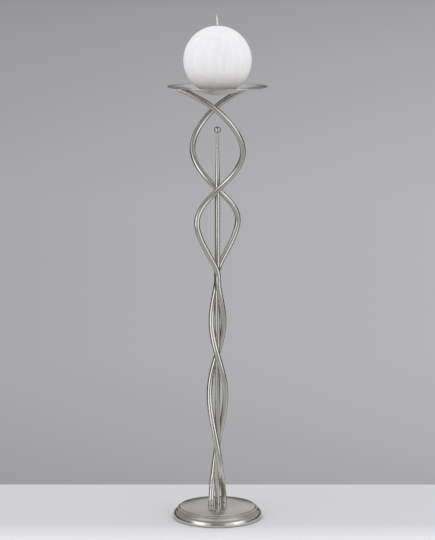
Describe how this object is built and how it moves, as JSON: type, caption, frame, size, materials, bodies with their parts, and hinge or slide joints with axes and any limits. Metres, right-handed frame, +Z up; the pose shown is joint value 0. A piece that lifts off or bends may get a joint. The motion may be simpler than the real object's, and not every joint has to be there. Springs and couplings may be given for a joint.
{
  "type": "torchere candle stand",
  "caption": "Tall metal candle stand: round weighted base, centre rod with a ball tip, bent bars woven round it, and a shallow dish holding a ball candle.",
  "frame": {"origin": "on the floor, on the axis of the base, the centre rod and the dish", "axes": "+Z up, -Y towards the front, +X to the right seen from the front"},
  "size_m": [0.225, 0.225, 1.1522],
  "materials": {
    "satin_nickel": "satin nickel plate, finely brushed, slightly warm",
    "cast_iron": "raw casting",
    "zinc_steel": "zinc plated",
    "felt": "pressed felt",
    "wax": "smooth candle wax, cool white",
    "cotton": "waxed cotton wick"
  },
  "bodies": {
    "stand": {"base_cover": "satin_nickel", "base_weight": "cast_iron", "base_pad": "felt", "rod_screw": "zinc_steel", "rod_washer": "zinc_steel", "front_screw": "zinc_steel", "front_washer": "zinc_steel", "rear_screw": "zinc_steel", "rear_washer": "zinc_steel", "centre_rod": "satin_nickel", "finial_stud": "zinc_steel", "ball_finial": "satin_nickel", "front_bar": "satin_nickel", "rear_bar": "satin_nickel", "candle_dish": "satin_nickel"},
    "candle": {"ball_candle": "wax", "candle_wick": "cotton"}
  },
  "joints": [
    {"name": "candle_lift", "type": "slide", "parent": "stand", "child": "candle", "axis": [0, 0, 1], "range_m": [0, 0.15]}
  ]
}
